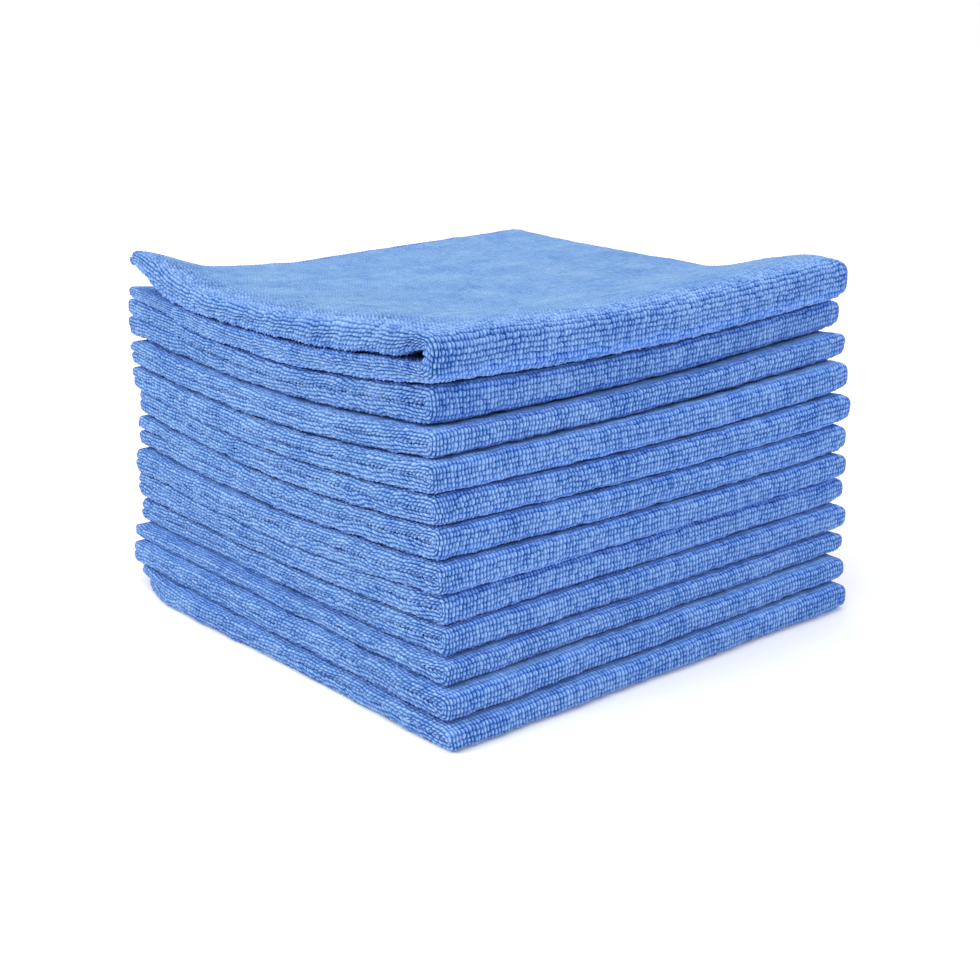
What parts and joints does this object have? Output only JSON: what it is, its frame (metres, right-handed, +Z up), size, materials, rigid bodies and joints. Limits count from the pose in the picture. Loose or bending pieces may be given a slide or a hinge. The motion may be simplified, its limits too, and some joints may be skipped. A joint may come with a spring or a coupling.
{
  "type": "folded polishing cloth pile",
  "caption": "Neat pile of terry polishing cloths, each folded to a square with rounded fold edges, resting flat; for drying, wiping and buffing.",
  "frame": {"origin": "middle of the bounding box at the underside, on the surface the pile rests on", "axes": "+Z up; the thick rolls of the second fold face +X, the pairs of thin first-fold rolls face -Y, the open overlocked edges face -X and +Y"},
  "size_m": [0.2276, 0.216, 0.134],
  "materials": {
    "blue_terry": "looped terry pile, matt",
    "overlock_thread": "overlocked polyester thread, slight sheen"
  },
  "bodies": {
    "cloth_01": {"cloth_01": "blue_terry", "edging_01": "overlock_thread"},
    "cloth_02": {"cloth_02": "blue_terry", "edging_02": "overlock_thread"},
    "cloth_03": {"cloth_03": "blue_terry", "edging_03": "overlock_thread"},
    "cloth_04": {"cloth_04": "blue_terry", "edging_04": "overlock_thread"},
    "cloth_05": {"cloth_05": "blue_terry", "edging_05": "overlock_thread"},
    "cloth_06": {"cloth_06": "blue_terry", "edging_06": "overlock_thread"},
    "cloth_07": {"cloth_07": "blue_terry", "edging_07": "overlock_thread"},
    "cloth_08": {"cloth_08": "blue_terry", "edging_08": "overlock_thread"},
    "cloth_09": {"cloth_09": "blue_terry", "edging_09": "overlock_thread"},
    "cloth_10": {"cloth_10": "blue_terry", "edging_10": "overlock_thread"},
    "cloth_11": {"cloth_11": "blue_terry", "edging_11": "overlock_thread"},
    "cloth_12": {"cloth_12": "blue_terry", "edging_12": "overlock_thread"}
  },
  "joints": [
    {"name": "lift_02", "type": "slide", "parent": "cloth_01", "child": "cloth_02", "axis": [0, 0, 1], "range_m": [0, 0.05]},
    {"name": "lift_03", "type": "slide", "parent": "cloth_02", "child": "cloth_03", "axis": [0, 0, 1], "range_m": [0, 0.05]},
    {"name": "lift_04", "type": "slide", "parent": "cloth_03", "child": "cloth_04", "axis": [0, 0, 1], "range_m": [0, 0.05]},
    {"name": "lift_05", "type": "slide", "parent": "cloth_04", "child": "cloth_05", "axis": [0, 0, 1], "range_m": [0, 0.05]},
    {"name": "lift_06", "type": "slide", "parent": "cloth_05", "child": "cloth_06", "axis": [0, 0, 1], "range_m": [0, 0.05]},
    {"name": "lift_07", "type": "slide", "parent": "cloth_06", "child": "cloth_07", "axis": [0, 0, 1], "range_m": [0, 0.05]},
    {"name": "lift_08", "type": "slide", "parent": "cloth_07", "child": "cloth_08", "axis": [0, 0, 1], "range_m": [0, 0.05]},
    {"name": "lift_09", "type": "slide", "parent": "cloth_08", "child": "cloth_09", "axis": [0, 0, 1], "range_m": [0, 0.05]},
    {"name": "lift_10", "type": "slide", "parent": "cloth_09", "child": "cloth_10", "axis": [0, 0, 1], "range_m": [0, 0.05]},
    {"name": "lift_11", "type": "slide", "parent": "cloth_10", "child": "cloth_11", "axis": [0, 0, 1], "range_m": [0, 0.05]},
    {"name": "lift_12", "type": "slide", "parent": "cloth_11", "child": "cloth_12", "axis": [0, 0, 1], "range_m": [0, 0.05]}
  ]
}
